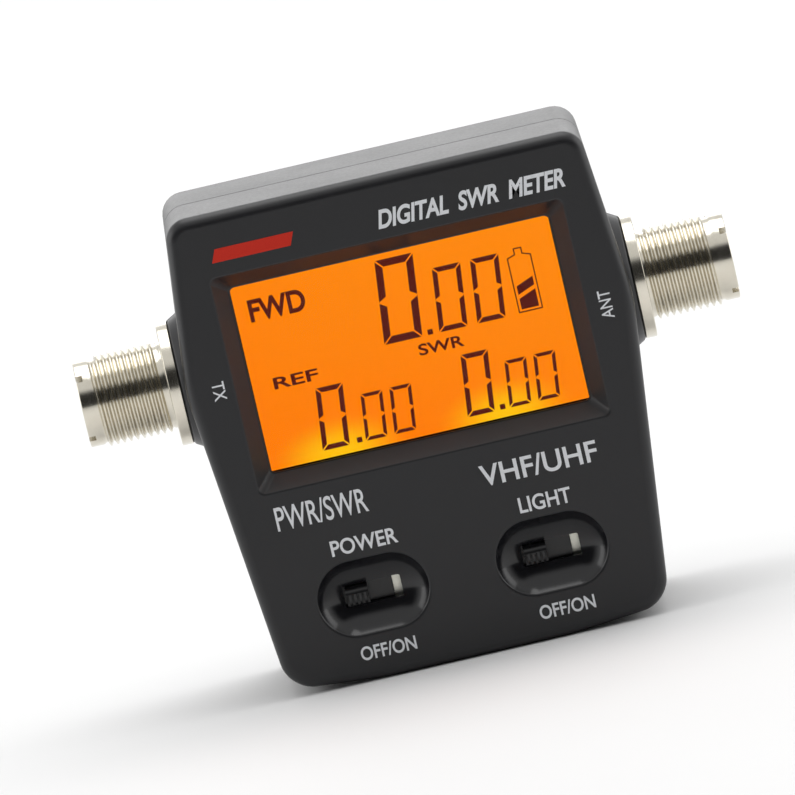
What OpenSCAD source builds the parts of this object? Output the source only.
// Pocket SWR meter for an aerial lead: a moulded case in two halves, a backlit display,
// two slide switches, three cells and a coupler between two threaded coaxial sockets.
// Front panel towards -Y, +Z up, origin at the middle of the land it stands on.

/* [Case] */
// Height of the case
case_h = 84.5; // [80:0.5:110]
// Width of the case at its widest, level with the sockets
case_w = 77.6; // [74:0.2:96]
// Width of the case at its top corners
top_w = 71.6; // [69:0.2:80]
// Width of the case at its bottom corners
base_w = 66.2; // [65:0.2:76]
// Depth of the case from front to back
case_d = 33; // [32.5:0.5:42]
// Width of the flat land under the case
land_w = 32; // [20:1:44]
// Height of the bottom corners above the land
land_rise = 1.5; // [0.5:0.1:3]
// Thickness of the case walls
wall = 2; // [1.6:0.1:2.6]
// Rounding of the front and back edges
edge_r = 2; // [1:0.1:2.4]
// Rounding of the top corners, seen from the front
top_r = 3.8; // [1:0.1:6]
// Rounding of the bottom corners, seen from the front
base_r = 5.6; // [1:0.1:8]
// Rounding where the sides are widest
waist_r = 30; // [5:1:60]

/* [Display] */
// Width of the window that shows the display
window_w = 55.5; // [40:0.5:58]
// Height of the window that shows the display
window_h = 32.5; // [24:0.5:36]
// Distance that the bevel spreads past the window on each side
bevel_w = 2.8; // [1.5:0.1:4]
// Depth of the window below the front face
window_recess = 3.4; // [2.4:0.1:4]
// Height from the top of the case to the middle of the window
window_drop = 29.9; // [29:0.1:34]
// Thickness of the clear window
lens_t = 1; // [0.8:0.1:1.2]
// Thickness of the display glass
glass_t = 2.2; // [1.6:0.1:2.4]
// Thickness of the light guide behind the glass
guide_t = 2.5; // [2:0.1:3]

/* [Switches] */
// Distance of each switch from the middle of the case
switch_x = 15.5; // [14:0.1:17]
// Height of the switches above the land
switch_z = 14.7; // [13:0.1:18]
// Length of the thumb dish round a switch
dish_w = 19.4; // [17:0.1:21]
// Height of the thumb dish
dish_h = 13.1; // [11:0.1:14]
// Depth of the thumb dish
dish_depth = 3.3; // [2.4:0.1:3.6]
// Length of the slot in the dish
slot_w = 10; // [8:0.1:11]
// Height of the slot in the dish
slot_h = 3.8; // [3.2:0.1:4.4]
// Length of the switch knob
knob_w = 3.9; // [3:0.1:4.4]
// Travel of the knob from off to on
knob_travel = 5.4; // [2:0.1:5.4]

/* [Sockets] */
// Height of the socket axis above the land
socket_z = 54.9; // [52:0.1:58]
// Outside diameter of the socket thread
barrel_d = 15.875; // [14:0.005:18]
// Distance that each socket stands out of the case, at its widest
socket_reach = 17.8; // [16:0.1:22]
// Diameter of the round flange
flange_d = 21.3; // [19:0.1:23]
// Thickness of the round flange
flange_t = 2; // [1.5:0.1:3]
// Diameter of the hole in the centre contact
pin_bore_d = 4; // [3:0.1:4.4]

/* [Cells] */
// Diameter of a cell
cell_d = 10.5; // [9:0.1:10.6]
// Length of a cell over its button
cell_l = 44.5; // [38:0.5:45]

/* [Hidden] */

$fn = 64;
over = 0.1;                 // how far a cut runs past the face it opens
fit_gap = 0.03;             // between pieces that are pressed or soldered together
screw_gap = 0.05;           // round a screw in its hole
slide_gap = 0.2;            // round a piece that slides or drops in
corner_steps = 6;           // flats in each corner of an outline
edge_steps = 5;             // flats in the rounding of an edge

front_y = -case_d / 2;
back_y = case_d / 2;
apex_x = case_w / 2;

// Outline of the case: x, z and rounding of its corners, right half and then left half
half_corners = [
    [land_w / 2, 0, 20],
    [base_w / 2, land_rise, base_r],
    [apex_x, socket_z, waist_r],
    [top_w / 2, case_h, top_r],
];
corners = concat(half_corners, [for (i = [3:-1:0]) let (c = half_corners[i]) [-c[0], c[1], c[2]]]);

function unit(v) = v / norm(v);
function left_of(d) = [-d[1], d[0]];
function turned(v, a) = [v[0] * cos(a) - v[1] * sin(a), v[0] * sin(a) + v[1] * cos(a)];
function spot(c) = [c[0], c[1]];
function rounded_corner(a, v, b, r, inset) =
    let (d1 = unit(v - a), d2 = unit(b - v), n1 = left_of(d1), n2 = left_of(d2))
    let (t = acos(d1 * d2), rr = max(r - inset, 0.3))
    let (p = v + inset * (n1 + n2) / (1 + n1 * n2))
    let (c = p - d1 * rr * tan(t / 2) + n1 * rr)
    [for (k = [0:corner_steps]) c + turned(-n1 * rr, t * k / corner_steps)];
function outline(inset) =
    let (n = len(corners))
    [for (i = [0:n - 1]) let (c = corners[i])
        each rounded_corner(spot(corners[(i + n - 1) % n]), spot(c), spot(corners[(i + 1) % n]),
                            c[2], inset)];
// Half-width of the case at a height, from the straight lines between its corners
function half_width(z) = z < socket_z
    ? base_w / 2 + (apex_x - base_w / 2) * (z - land_rise) / (socket_z - land_rise)
    : apex_x + (top_w / 2 - apex_x) * (z - socket_z) / (case_h - socket_z);

// Places along the depth, from the front face back
lens_y = front_y + window_recess;
glass_y = lens_y + lens_t + 0.1;
guide_y = glass_y + glass_t + 0.1;
board_y = guide_y + guide_t + 0.2;
board_t = 1.6;
board_back = board_y + board_t;

window_z = case_h - window_drop;
bevel_size = [window_w + 2 * bevel_w, window_h + 2 * bevel_w + 0.4];
collar_t = 1.2;
lens_size = [window_w + 3.5, window_h + 3];
glass_size = [window_w + 4, window_h + 5.5];
holder_wall = 1.2;
strip_h = 1.8;
guide_size = [window_w + 1.5, glass_size[1] - 2 * strip_h - 0.8];
led_size = [3, 1.9, 1.4];
led_x = 14;

// Dish: a capsule-shaped cut, two spheres and a cylinder
dish_r = (pow(dish_h / 2, 2) + pow(dish_depth, 2)) / (2 * dish_depth);
dish_span = dish_w - dish_h;
dish_wall = 1.2;
dish_back = front_y + dish_depth + dish_wall;

// Switch on the front of the board; its knob rests at off
base_size = [13.6, 3, 5.8];
frame_t = 0.3;
frame_y = board_y - base_size[1] - frame_t;
stem_size = [1.6, 2.4];
shutter_t = 0.7;
shutter_y = frame_y - 0.45 - shutter_t;
knob_h = slot_h - 2 * slide_gap;
knob_tip = front_y + 1.3;
off_x = -knob_travel / 2;
shutter_w = 2 * (slot_w / 2 - off_x - 1.5);
tine_w = knob_w / 9;

// Screws
case_post_r = 3.3;
case_screw_r = 1.3;
case_head_r = 2.2;
case_head_t = 1.8;
head_gap = 0.15;
case_screw_l = 16;
case_head_y = back_y - 8.5;
board_screw_r = 1;
board_head_r = 1.9;
board_head_t = 1.3;
board_screw_l = 7;
board_boss_r = 2.3;
case_screw_places = [
    for (s = [-1, 1]) [s * (base_w / 2 - 4.1), 7],
    for (s = [-1, 1]) [s * (top_w / 2 - 4.6), case_h - 5.6],
];
board_shoulder_z = 10.9;
board_top_w = 50;
board_foot_w = 49;
board_foot_z = 4.8;
board_shoulder_top = case_h - 9.6;
board_top = case_h - 3.5;
board_screw_places = [
    for (s = [-1, 1]) [s * 27.2, 27],
    for (s = [-1, 1]) [s * 20, case_h - 6],
];

// Sockets, along X from the middle of the case
inner_apex = apex_x - wall;
boss_face = apex_x + 0.6;
boss_foot = apex_x - 1.7;
boss_r = 10.7;
boss_foot_r = 12;
flange_face = boss_face + flange_t;
neck_l = 0.9;
thread_start = flange_face + neck_l;
tip_x = apex_x + socket_reach;
ring_l = 2.2;
ring_d = barrel_d - 1;
thread_end = tip_x - ring_l - 0.5;
sleeve_r = 6;
shoulder_r = 7;
shell_bore_r = 4.5;
mouth_r = 5.7;
mouth_depth = 6.2;
mouth_floor = tip_x - mouth_depth;
step_x = thread_start + 0.9;
notch_w = 1.3;
notch_d = 1.2;
plate_t = 0.8;
plate_gap = 0.4;
shield_half_h = 8;
plate_x = min(half_width(socket_z + shield_half_h), half_width(socket_z - shield_half_h))
    - wall - plate_gap;
washer_t = 0.6;
washer_r = 7;
nut_t = 2.4;
nut_x = plate_x - plate_t - washer_t - nut_t;
nut_across = 14;
sleeve_x = nut_x - 1.6;
board_w = min(59.8, 2 * (sleeve_x - 0.1));
contact_r = pin_bore_d / 2 + 0.7;
pin_depth = 13;
contact_back = mouth_floor - pin_depth - 3;
tail_r = 1.5;
cup_r = 2.2;
cup_l = 4;
line_r = 1.5;
slit_w = 0.4;
slit_l = 8;

// Coupler between the sockets
shield_floor = -4.3;
shield_back = 8.4;
floor_half = sleeve_x - 0.5;
coupler_y = shield_floor + plate_t;
coupler_t = 1.6;
coupler_face = coupler_y + coupler_t;
coupler_size = [2 * (sleeve_x - cup_l - 0.5), 13];
sense_l = 22;
sense_w = 1;
sense_t = 0.2;
sense_z = 3.4;
header_size = [10.2, 2.5];
header_drop = 5.2;

// Cells, lying along X in a well that opens to the back
cover_t = 1.4;
cell_gap = 0.35;
spring_room = 3.5;
terminal_t = 0.4;
well_wall = 1.4;
well_half = (cell_l + spring_room) / 2 + terminal_t;
well_z = 5.9;
cell_pitch = cell_d + 2 * cell_gap;
well_h = 3 * cell_pitch;
well_front = back_y - cover_t - cell_d - 2 * cell_gap;
cell_y = well_front + cell_gap + cell_d / 2;
cell_nub_l = 1;
cell_nub_r = 1.9;
seat_half = well_half + well_wall;
seat_z = well_z - well_wall;
seat_top = well_z + well_h + well_wall;
cover_gap = 0.15;
hook_x = 15;
hook_w = 6;
hook_reach = 1.6;
hook_t = 1.1;
hook_y = back_y - wall - 0.2 - hook_t;
latch_w = 10;
latch_depth = 2.5;
latch_gap = 0.45;
spring_wire = 0.6;
spring_turns = 3.5;
spring_sunk = 0.1;          // how far the first turn is welded into its plate
terminal_h = 8.4;
tab_w = 3;
tab_end = well_front - well_wall - 1.4;
lead_r = 0.6;

function cell_z(i) = well_z + cell_pitch * (i + 0.5);

// A flat shape in XZ, made solid from y0 to y1
module slab(y0, y1) {
    translate([0, y1, 0]) rotate([90, 0, 0]) linear_extrude(y1 - y0) children();
}

// A box centred in X and Z, from y0 to y1
module block(size_x, size_z, y0, y1, at = [0, 0]) {
    translate([at[0] - size_x / 2, y0, at[1] - size_z / 2]) cube([size_x, y1 - y0, size_z]);
}

// A round bar along Y
module bar(r, y0, y1, at = [0, 0]) {
    translate([at[0], y1, at[1]]) rotate([90, 0, 0]) cylinder(r = r, h = y1 - y0);
}

// A round bar along X, on the socket axis
module axle(r, x0, x1) {
    translate([x0, 0, socket_z]) rotate([0, 90, 0]) cylinder(r = r, h = x1 - x0);
}

module rounded_rectangle(w, h, r) {
    hull()
        for (sx = [-1, 1], sz = [-1, 1])
            translate([sx * (w / 2 - r), sz * (h / 2 - r)]) circle(r = r, $fn = 24);
}

// Solid shape of one half of the case, rounded at its outer face
module case_solid(seam_y, face_y) {
    side = face_y > seam_y ? 1 : -1;
    straight_y = face_y - side * edge_r;
    slab(min(seam_y, straight_y), max(seam_y, straight_y)) polygon(outline(0));
    hull()
        for (k = [0:edge_steps]) {
            a = 90 * k / edge_steps;
            y = straight_y + side * edge_r * sin(a);
            slab(side > 0 ? y - 0.01 : y, side > 0 ? y : y + 0.01)
                polygon(outline(edge_r * (1 - cos(a))));
        }
}

module socket_bosses() {
    for (s = [0, 1])
        mirror([s, 0, 0]) {
            axle(boss_foot_r, inner_apex - 1, boss_foot);
            translate([boss_foot, 0, socket_z]) rotate([0, 90, 0])
                cylinder(r1 = boss_foot_r, r2 = boss_r, h = boss_face - boss_foot);
        }
}

module half_space(side) {
    translate([-100, side > 0 ? 0 : -50, -50]) cube([200, 50, 250]);
}

module socket_holes() {
    for (s = [0, 1])
        mirror([s, 0, 0]) axle(shoulder_r + slide_gap, inner_apex - 3, boss_face + 1);
}

// Capsule: the shape of the thumb dish, larger by grow
module dish_capsule(grow) {
    r = dish_r + grow;
    translate([0, front_y + dish_depth - dish_r, switch_z]) {
        translate([-dish_span / 2, 0, 0]) rotate([0, 90, 0]) cylinder(r = r, h = dish_span);
        for (s = [-1, 1])
            translate([s * dish_span / 2, 0, 0]) sphere(r = r);
    }
}

module front_cover() {
    color("#2a2a2d")
        difference() {
            union() {
                difference() {
                    union() {
                        case_solid(0, front_y);
                        intersection() {
                            socket_bosses();
                            half_space(-1);
                        }
                    }
                    slab(front_y + wall, over) polygon(outline(wall));
                }
                // Tongue that enters the rear case
                difference() {
                    slab(-1, 1.5) polygon(outline(wall / 2 + 0.1));
                    slab(-1 - over, 1.5 + over) polygon(outline(wall));
                }
                // Collar that carries the clear window
                block(bevel_size[0] + 2 * collar_t, bevel_size[1] + 2 * collar_t,
                      front_y + wall - over, lens_y, [0, window_z]);
                // Backs of the two thumb dishes
                for (s = [-1, 1])
                    intersection() {
                        translate([s * switch_x, 0, 0]) dish_capsule(dish_wall);
                        block(dish_w + 6, dish_h + 6, front_y + wall - over, dish_back,
                              [s * switch_x, switch_z]);
                    }
                // Posts for the case screws and bosses for the board
                for (p = case_screw_places)
                    bar(case_post_r, front_y + wall - over, 0, p);
                for (p = board_screw_places)
                    bar(board_boss_r, front_y + wall - over, board_y, p);
            }
            // Bevelled opening for the display
            hull() {
                translate([0, 0, window_z])
                    slab(front_y - over, front_y) rounded_rectangle(bevel_size[0], bevel_size[1], 1.5);
                translate([0, 0, window_z])
                    slab(lens_y, lens_y + over) rounded_rectangle(window_w, window_h, 0.6);
            }
            for (s = [-1, 1])
                translate([s * switch_x, 0, 0]) {
                    dish_capsule(0);
                    block(slot_w, slot_h, front_y, dish_back + over, [0, switch_z]);
                }
            for (p = case_screw_places)
                bar(case_screw_r + screw_gap, case_head_y - case_screw_l - 1, over, p);
            for (p = board_screw_places)
                bar(board_screw_r + screw_gap, board_back - board_screw_l - 0.5, board_y + over, p);
            socket_holes();
        }
}

module rear_case() {
    color("#2a2a2d")
        difference() {
            union() {
                difference() {
                    union() {
                        case_solid(0, back_y);
                        intersection() {
                            socket_bosses();
                            half_space(1);
                        }
                    }
                    slab(-over, back_y - wall) polygon(outline(wall));
                }
                // Walls of the well that holds the cells
                block(2 * seat_half, seat_top - seat_z, well_front - well_wall, back_y - cover_t,
                      [0, (seat_z + seat_top) / 2]);
                for (p = case_screw_places)
                    bar(case_post_r, 0, back_y - wall + over, p);
            }
            slab(-over, 1.6) polygon(outline(wall / 2));
            block(2 * well_half, well_h, well_front, back_y + over, [0, well_z + well_h / 2]);
            block(2 * seat_half, seat_top - seat_z, back_y - cover_t, back_y + over,
                  [0, (seat_z + seat_top) / 2]);
            // Slots for the hooks of the cover, the latch notch and the thumb scoop
            for (s = [-1, 1])
                block(hook_w + 4 * slide_gap, well_wall + 2 * over, hook_y - 0.8, back_y,
                      [s * hook_x, seat_z + well_wall / 2]);
            block(latch_w + 4 * slide_gap, well_wall + over,
                  back_y - cover_t - latch_depth - slide_gap, back_y,
                  [0, seat_top - (well_wall + over) / 2]);
            translate([0, back_y + 6.2, seat_top + 0.4]) sphere(r = 7.6);
            // Slots for the solder tabs of the two end terminals
            for (t = [[-1, 0], [1, 2]])
                block(terminal_t + 2 * slide_gap, tab_w + 2 * slide_gap,
                      well_front - well_wall - over, well_front + over,
                      [t[0] * (well_half - terminal_t / 2 - slide_gap / 2), cell_z(t[1])]);
            for (p = case_screw_places) {
                bar(case_screw_r + 3 * screw_gap, -over, back_y, p);
                bar(case_head_r + head_gap, case_head_y, back_y + over, p);
            }
            socket_holes();
        }
}

module battery_cover() {
    plate_w = 2 * (seat_half - cover_gap);
    plate_h = seat_top - seat_z - 2 * cover_gap;
    middle_z = (seat_z + seat_top) / 2;
    color("#2e2e31")
        difference() {
            union() {
                block(plate_w, plate_h, back_y - cover_t, back_y, [0, middle_z]);
                for (s = [-1, 1]) {
                    block(hook_w, 1.1, hook_y, back_y - cover_t + over,
                          [s * hook_x, seat_z + cover_gap + 0.55]);
                    block(hook_w, hook_reach + 0.6, hook_y, hook_y + hook_t,
                          [s * hook_x, seat_z + cover_gap + 0.6 - (hook_reach + 0.6) / 2]);
                }
                block(latch_w, 1.2, back_y - cover_t - latch_depth, back_y - cover_t + over,
                      [0, seat_top - latch_gap - 0.6]);
            }
            // Grip grooves across the top of the cover
            for (k = [0:4])
                block(16, 0.7, back_y - 0.45, back_y + over, [0, seat_top - 5 - 1.6 * k]);
        }
}

// Cross-head screw along Y: head at the back, seat at seat_y, shank towards the front
module screw(r, length, head_r, head_t, seat_y, at) {
    difference() {
        union() {
            bar(r, seat_y - length, seat_y + over, at);
            bar(head_r, seat_y, seat_y + head_t, at);
        }
        for (a = [0, 90])
            translate([at[0], 0, at[1]]) rotate([0, a, 0])
                block(head_r * 1.2, head_r * 0.25, seat_y + head_t / 2, seat_y + head_t + over);
    }
}

module case_screws() {
    color("#b8b8bc")
        for (p = case_screw_places)
            screw(case_screw_r, case_screw_l, case_head_r, case_head_t, case_head_y, p);
}

module display_window() {
    color([0.9, 0.9, 0.92, 0.3])
        block(lens_size[0], lens_size[1], lens_y, lens_y + lens_t, [0, window_z]);
}

module display_glass() {
    color("#ff8205")
        block(glass_size[0], glass_size[1], glass_y, glass_y + glass_t, [0, window_z]);
}

module display_holder() {
    color("#e6e6e2")
        difference() {
            block(glass_size[0] + 2 * holder_wall, glass_size[1] + 2 * holder_wall,
                  lens_y + lens_t + 0.05, board_y, [0, window_z]);
            block(glass_size[0] + 0.2, glass_size[1] + 0.2,
                  lens_y, glass_y + glass_t + 0.05, [0, window_z]);
            block(guide_size[0] + 0.4, glass_size[1] - 0.4, lens_y, board_y + over, [0, window_z]);
        }
}

module light_guide() {
    color("#fff2d0")
        difference() {
            block(guide_size[0], guide_size[1], guide_y, guide_y + guide_t, [0, window_z]);
            for (s = [-1, 1])
                block(led_size[0] + 0.3, 2 * (led_size[2] + 0.3), guide_y - over, board_y,
                      [s * led_x, window_z - guide_size[1] / 2]);
        }
}

module backlight_leds() {
    color("#ffd040")
        for (s = [-1, 1])
            block(led_size[0], led_size[2], board_y - led_size[1], board_y,
                  [s * led_x, window_z - guide_size[1] / 2 + led_size[2] / 2 + 0.1]);
}

module contact_strip(side) {
    color("#d080a0")
        block(guide_size[0] - 4, strip_h, glass_y + glass_t, board_y,
              [0, window_z + side * (glass_size[1] / 2 - 0.25 - strip_h / 2)]);
}

module upper_contact_strip() { contact_strip(1); }

module lower_contact_strip() { contact_strip(-1); }

module main_board() {
    half = [
        [board_foot_w / 2, board_foot_z],
        [board_foot_w / 2, board_shoulder_z],
        [board_w / 2, board_shoulder_z],
        [board_w / 2, board_shoulder_top],
        [board_top_w / 2, board_shoulder_top],
        [board_top_w / 2, board_top],
    ];
    color("#1d5b34")
        difference() {
            slab(board_y, board_back)
                polygon(concat(half, [for (i = [5:-1:0]) [-half[i][0], half[i][1]]]));
            for (p = board_screw_places)
                bar(board_screw_r + screw_gap, board_y - over, board_back + over, p);
            for (s = [-1, 1], e = [-1, 1])
                block(frame_t + 0.3, 2.4, board_y - over, board_back + over,
                      [s * switch_x + e * (base_size[0] / 2 + frame_t / 2 + 0.05), switch_z]);
        }
}

module board_screws() {
    color("#c0c0c4")
        for (p = board_screw_places)
            screw(board_screw_r, board_screw_l, board_head_r, board_head_t, board_back, p);
}

module microcontroller() {
    at = [-7, 35];
    color("#303036") {
        block(10, 10, board_back + 0.1, board_back + 1.5, at);
        for (k = [0:9], s = [-1, 1]) {
            block(1.2, 0.35, board_back, board_back + 0.5, at + [s * 5.5, (k - 4.5) * 0.95]);
            block(0.35, 1.2, board_back, board_back + 0.5, at + [(k - 4.5) * 0.95, s * 5.5]);
        }
    }
}

module detector_amplifier() {
    at = [14, 41];
    color("#303036") {
        block(4.9, 3.9, board_back + 0.1, board_back + 1.6, at);
        for (k = [0:3], s = [-1, 1])
            block(0.4, 1.1, board_back, board_back + 0.6, at + [(k - 1.5) * 1.27, s * 2.4]);
    }
}

module smoothing_capacitor() {
    at = [17, cell_z(2) - 3.9];
    color("#a8a8ac") {
        block(6.6, 6.6, board_back, board_back + 0.8, at);
        bar(3.1, board_back + 0.7, board_back + 5.4, at);
    }
}

module link_header() {
    color("#202024")
        block(header_size[0], header_size[1], board_back, coupler_y, [0, socket_z - header_drop]);
}

// Slide switch: moulded base, steel frame over it and the moving knob
module switch_base() {
    color("#3a3026")
        difference() {
            block(base_size[0], base_size[2], board_y - base_size[1], board_y, [0, switch_z]);
            block(knob_travel + stem_size[0] + 2 * slide_gap + 0.6, stem_size[1] + 2 * slide_gap,
                  board_y - base_size[1] - over, board_y - 1, [0, switch_z]);
        }
}

module switch_frame() {
    color("#c8c8c4") {
        difference() {
            block(base_size[0] + 2 * frame_t + 0.1, base_size[2] + 0.6, frame_y, frame_y + frame_t,
                  [0, switch_z]);
            block(knob_travel + stem_size[0] + slide_gap, stem_size[1] + 2 * slide_gap,
                  frame_y - over, frame_y + frame_t + over, [0, switch_z]);
        }
        for (s = [-1, 1])
            block(frame_t, 2.1, frame_y + frame_t - over, board_back + 0.6,
                  [s * (base_size[0] / 2 + frame_t / 2 + 0.05), switch_z]);
    }
}

module switch_knob() {
    color("#1b1b1d")
        translate([off_x, 0, 0])
            difference() {
                union() {
                    block(stem_size[0], stem_size[1], shutter_y, board_y - 1.3, [0, switch_z]);
                    block(shutter_w, slot_h + 1, shutter_y, shutter_y + shutter_t, [0, switch_z]);
                    block(knob_w, knob_h, knob_tip, shutter_y + over, [0, switch_z]);
                }
                for (k = [-1.5:1:1.5])
                    block(tine_w, knob_h + 1, knob_tip - over, knob_tip + 0.5,
                          [k * 2 * tine_w, switch_z]);
            }
}

module power_switch_base() { translate([-switch_x, 0, 0]) switch_base(); }

module power_switch_frame() { translate([-switch_x, 0, 0]) switch_frame(); }

module power_switch_knob() { translate([-switch_x, 0, 0]) switch_knob(); }

module light_switch_base() { translate([switch_x, 0, 0]) switch_base(); }

module light_switch_frame() { translate([switch_x, 0, 0]) switch_frame(); }

module light_switch_knob() { translate([switch_x, 0, 0]) switch_knob(); }

// Coaxial socket on the +X side; the one on the -X side is its mirror image
module turned_piece(profile) {
    translate([0, 0, socket_z]) rotate([0, 90, 0]) rotate_extrude() polygon(profile);
}

module socket_shell() {
    color("#cfc8b8")
        difference() {
            turned_piece([
                [shell_bore_r, sleeve_x],
                [sleeve_r, sleeve_x],
                [sleeve_r, plate_x],
                [shoulder_r, plate_x],
                [shoulder_r, boss_face],
                [flange_d / 2, boss_face],
                [flange_d / 2, flange_face],
                [ring_d / 2, flange_face],
                [ring_d / 2, thread_start - 0.3],
                [barrel_d / 2, thread_start],
                [barrel_d / 2, thread_end],
                [ring_d / 2, thread_end + 0.5],
                [ring_d / 2, tip_x - 0.3],
                [ring_d / 2 - 0.3, tip_x],
                [mouth_r + 0.3, tip_x],
                [mouth_r, tip_x - 0.3],
                [mouth_r, step_x],
                [shell_bore_r, step_x],
            ]);
            for (a = [45, 135])
                translate([tip_x - notch_d, 0, socket_z]) rotate([a, 0, 0])
                    translate([0, -barrel_d, -notch_w / 2]) cube([5, 2 * barrel_d, notch_w]);
        }
}

module socket_insulator() {
    color("#f2f0e8")
        turned_piece([
            [tail_r + fit_gap, sleeve_x],
            [shell_bore_r - fit_gap, sleeve_x],
            [shell_bore_r - fit_gap, step_x + fit_gap],
            [mouth_r - fit_gap, step_x + fit_gap],
            [mouth_r - fit_gap, mouth_floor],
            [contact_r + fit_gap, mouth_floor],
            [contact_r + fit_gap, contact_back - fit_gap],
            [tail_r + fit_gap, contact_back - fit_gap],
        ]);
}

module socket_contact() {
    cup_x = sleeve_x - cup_l - 0.1;
    color("#c9a545")
        difference() {
            union() {
                axle(contact_r, contact_back, mouth_floor);
                axle(tail_r, cup_x + 1, contact_back + 1);
                axle(cup_r, cup_x, cup_x + cup_l);
            }
            axle(pin_bore_d / 2, mouth_floor - pin_depth, mouth_floor + over);
            axle(line_r + fit_gap, cup_x - over, cup_x + 2.5);
            for (a = [45, 135])
                translate([mouth_floor - slit_l, 0, socket_z]) rotate([a, 0, 0])
                    translate([0, -contact_r - 1, -slit_w / 2])
                        cube([slit_l + over, 2 * contact_r + 2, slit_w]);
        }
}

module socket_nut() {
    color("#cfc8b8")
        translate([nut_x, 0, socket_z]) rotate([0, 90, 0])
            difference() {
                rotate([0, 0, 30]) cylinder(r = nut_across / 2 / cos(30), h = nut_t, $fn = 6);
                translate([0, 0, -over])
                    cylinder(r = sleeve_r + screw_gap, h = nut_t + 2 * over);
            }
}

module lock_washer() {
    color("#b9b9bd")
        difference() {
            axle(washer_r, nut_x + nut_t, nut_x + nut_t + washer_t);
            axle(sleeve_r + 2 * screw_gap, nut_x + nut_t - over, nut_x + nut_t + washer_t + over);
        }
}

module tx_socket_shell() { mirror([1, 0, 0]) socket_shell(); }

module tx_socket_insulator() { mirror([1, 0, 0]) socket_insulator(); }

module tx_socket_contact() { mirror([1, 0, 0]) socket_contact(); }

module tx_socket_nut() { mirror([1, 0, 0]) socket_nut(); }

module tx_lock_washer() { mirror([1, 0, 0]) lock_washer(); }

module ant_socket_shell() { socket_shell(); }

module ant_socket_insulator() { socket_insulator(); }

module ant_socket_contact() { socket_contact(); }

module ant_socket_nut() { socket_nut(); }

module ant_lock_washer() { lock_washer(); }

module coupler_shield() {
    color("#b4b2a8")
        difference() {
            union() {
                block(2 * floor_half, 2 * shield_half_h, shield_floor, coupler_y, [0, socket_z]);
                for (s = [-1, 1]) {
                    block(2 * plate_x - plate_t, plate_t, shield_floor, shield_back,
                          [0, socket_z + s * (shield_half_h - plate_t / 2)]);
                    block(plate_t, 2 * shield_half_h, -shield_back, shield_back,
                          [s * (plate_x - plate_t / 2), socket_z]);
                }
            }
            for (s = [0, 1])
                mirror([s, 0, 0]) axle(sleeve_r + screw_gap, nut_x, plate_x + 1);
            block(header_size[0] + 0.8, header_size[1] + 0.8, shield_floor - over, coupler_y + over,
                  [0, socket_z - header_drop]);
        }
}

module shield_lid() {
    color("#b4b2a8")
        block(2 * plate_x, 2 * shield_half_h, shield_back, shield_back + 0.6, [0, socket_z]);
}

module coupler_board() {
    color("#1d5b34")
        block(coupler_size[0], coupler_size[1], coupler_y, coupler_face, [0, socket_z]);
}

module through_line() {
    line_half = sleeve_x - cup_l - 0.1 + 2.4;
    color("#c9a545") axle(line_r, -line_half, line_half);
}

module sense_line(side) {
    color("#c07a40")
        block(sense_l, sense_w, coupler_face, coupler_face + sense_t,
              [0, socket_z + side * sense_z]);
}

module forward_sense_line() { sense_line(1); }

module reflected_sense_line() { sense_line(-1); }

// One at an end of each sense line, at opposite ends
module line_end_parts(end, size_x, size_z, size_y) {
    for (s = [-1, 1])
        block(size_x, size_z, coupler_face, coupler_face + size_y,
              [s * end * (sense_l / 2 + size_x / 2 + 0.2), socket_z + s * sense_z]);
}

module detector_diodes() { color("#26262a") line_end_parts(1, 2.6, 1.4, 1.1); }

module load_resistors() { color("#3c3c44") line_end_parts(-1, 3.2, 1.6, 0.6); }

// Cell along X with its button towards side
module cell(i, side) {
    end_x = (well_half - terminal_t) * side;
    translate([0, cell_y, cell_z(i)]) mirror([side < 0 ? 1 : 0, 0, 0])
        translate([abs(end_x) - cell_l, 0, 0]) rotate([0, 90, 0]) {
            cylinder(r = cell_d / 2, h = cell_l - cell_nub_l);
            cylinder(r = cell_nub_r, h = cell_l);
        }
}

module lower_cell() { color("#3f7f9f") cell(0, 1); }

module middle_cell() { color("#3f7f9f") cell(1, -1); }

module upper_cell() { color("#3f7f9f") cell(2, 1); }

// Contact plate at an end of the well, over cells first to last
module terminal_plate(side, first, last) {
    height = cell_z(last) - cell_z(first) + terminal_h;
    block(terminal_t, height, cell_y - terminal_h / 2, cell_y + terminal_h / 2,
          [side * (well_half - terminal_t / 2), (cell_z(first) + cell_z(last)) / 2]);
}

// Solder tab of an end terminal, through the floor of the well
module terminal_tab(side, i) {
    block(terminal_t, tab_w, tab_end, cell_y - terminal_h / 2 + over,
          [side * (well_half - terminal_t / 2), cell_z(i)]);
}

// Conical coil from a plate to the flat end of a cell, swept as rings of sides points
module cell_spring(side, i) {
    sides = 6;
    per_turn = 12;
    rings = per_turn * spring_turns;
    x0 = well_half - terminal_t;
    length = spring_room - spring_wire;
    points = [
        for (k = [0:rings], j = [0:sides - 1])
            let (t = k / rings, phi = 360 * k / per_turn, a = 360 * j / sides)
            let (r = 3.7 - 1.4 * t + spring_wire / 2 * cos(a))
            let (x = x0 - spring_wire / 2 + spring_sunk - length * t + spring_wire / 2 * sin(a))
            [side * x, cell_y + r * cos(phi), cell_z(i) + r * sin(phi)]
    ];
    walls = [
        for (k = [0:rings - 1], j = [0:sides - 1])
            let (a = k * sides + j, b = k * sides + (j + 1) % sides)
            side > 0 ? [a, b, b + sides, a + sides] : [a + sides, b + sides, b, a]
    ];
    first = [for (j = [0:sides - 1]) side > 0 ? sides - 1 - j : j];
    last = [for (j = [0:sides - 1]) rings * sides + (side > 0 ? j : sides - 1 - j)];
    polyhedron(points, concat([first], walls, [last]), convexity = 8);
}

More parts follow.
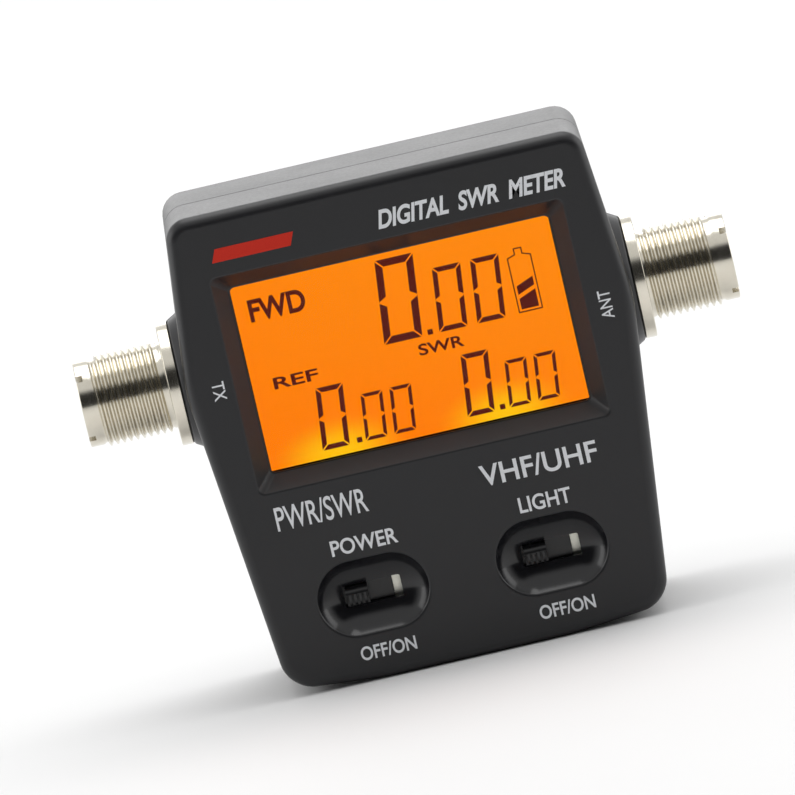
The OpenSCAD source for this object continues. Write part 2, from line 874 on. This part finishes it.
module negative_terminal() {
    color("#c4c4c0") {
        terminal_plate(-1, 0, 0);
        terminal_tab(-1, 0);
        cell_spring(-1, 0);
    }
}

module right_cell_link() {
    color("#c4c4c0") {
        terminal_plate(1, 0, 1);
        cell_spring(1, 1);
    }
}

module left_cell_link() {
    color("#c4c4c0") {
        terminal_plate(-1, 1, 2);
        cell_spring(-1, 2);
    }
}

module positive_terminal() {
    color("#c4c4c0") {
        terminal_plate(1, 2, 2);
        terminal_tab(1, 2);
    }
}

// Insulated lead from a solder tab to the back of the board, bent through a right angle
module lead(side, i) {
    bend = 2.4;
    x = side * (well_half - terminal_t - lead_r - 0.02);
    z = cell_z(i);
    color(side > 0 ? "#c02020" : "#101012") {
        bar(lead_r, board_back + lead_r + bend, tab_end + 1, [x, z]);
        translate([x - side * bend, board_back + lead_r + bend, z])
            rotate([side > 0 ? 180 : 0, 0, side > 0 ? 0 : 180])
                rotate_extrude(angle = 90) translate([bend, 0]) circle(r = lead_r, $fn = 32);
        translate([x - side * (bend + 3), board_back + lead_r, z]) rotate([0, 90, 0])
            translate([0, 0, side > 0 ? 0 : -3]) cylinder(r = lead_r, h = 3);
    }
}

module red_lead() { lead(1, 2); }

module black_lead() { lead(-1, 0); }

front_cover();
rear_case();
battery_cover();
case_screws();
display_window();
display_glass();
display_holder();
light_guide();
backlight_leds();
upper_contact_strip();
lower_contact_strip();
main_board();
board_screws();
microcontroller();
detector_amplifier();
smoothing_capacitor();
link_header();
power_switch_base();
power_switch_frame();
power_switch_knob();
light_switch_base();
light_switch_frame();
light_switch_knob();
tx_socket_shell();
tx_socket_insulator();
tx_socket_contact();
tx_socket_nut();
tx_lock_washer();
ant_socket_shell();
ant_socket_insulator();
ant_socket_contact();
ant_socket_nut();
ant_lock_washer();
coupler_shield();
shield_lid();
coupler_board();
through_line();
forward_sense_line();
reflected_sense_line();
detector_diodes();
load_resistors();
lower_cell();
middle_cell();
upper_cell();
negative_terminal();
left_cell_link();
right_cell_link();
positive_terminal();
red_lead();
black_lead();
